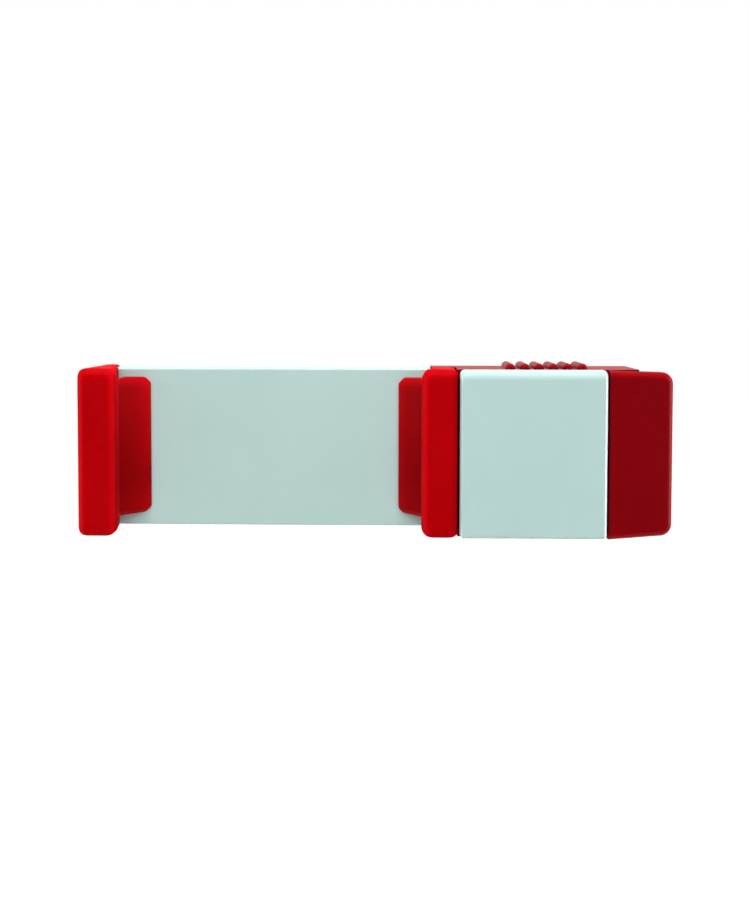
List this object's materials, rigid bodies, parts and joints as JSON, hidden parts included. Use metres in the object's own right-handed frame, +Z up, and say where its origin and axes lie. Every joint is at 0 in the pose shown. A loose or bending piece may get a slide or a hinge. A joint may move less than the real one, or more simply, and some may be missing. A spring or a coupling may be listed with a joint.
{
  "type": "car vent phone mount",
  "caption": "Phone holder for a car air vent: a flat tray with a soft side grip, a sprung pull-out slider with the other grip, and a swivelling split-prong vent clip.",
  "frame": {"origin": "on the swivel axis, at the throat of the vent clip's blade slots", "axes": "+X along the mount towards the pull tab, +Y from the phone towards the vent, +Z up"},
  "size_m": [0.1201, 0.0465, 0.0353],
  "materials": {
    "pale_plastic": "satin moulded",
    "red_plastic": "satin moulded",
    "red_silicone": "matte silicone",
    "steel": "bright zinc"
  },
  "bodies": {
    "vent_clip": {"clip_body": "pale_plastic", "disc_spring": "steel", "swivel_washer": "steel", "swivel_screw": "steel", "prong_boot_lower_left": "red_silicone", "prong_boot_lower_right": "red_silicone", "prong_boot_upper_left": "red_silicone", "prong_boot_upper_right": "red_silicone"},
    "tray": {"tray": "pale_plastic", "tray_back": "pale_plastic", "tray_screws": "steel", "left_grip": "red_silicone", "spring_upper": "steel", "spring_lower": "steel"},
    "slider": {"slider_housing": "red_plastic", "slider_back": "red_plastic", "slider_screws": "steel", "front_cover": "pale_plastic", "right_grip": "red_silicone"}
  },
  "joints": [
    {"name": "swivel", "type": "hinge", "parent": "vent_clip", "child": "tray", "pos_m": [0, 0, 0], "axis": [0, 1, 0], "continuous": true},
    {"name": "slide", "type": "slide", "parent": "tray", "child": "slider", "axis": [1, 0, 0], "range_m": [0, 0.025], "stiffness_N_per_m": 555, "springref_m": -0.005, "deforming": ["spring_upper", "spring_lower"]}
  ]
}
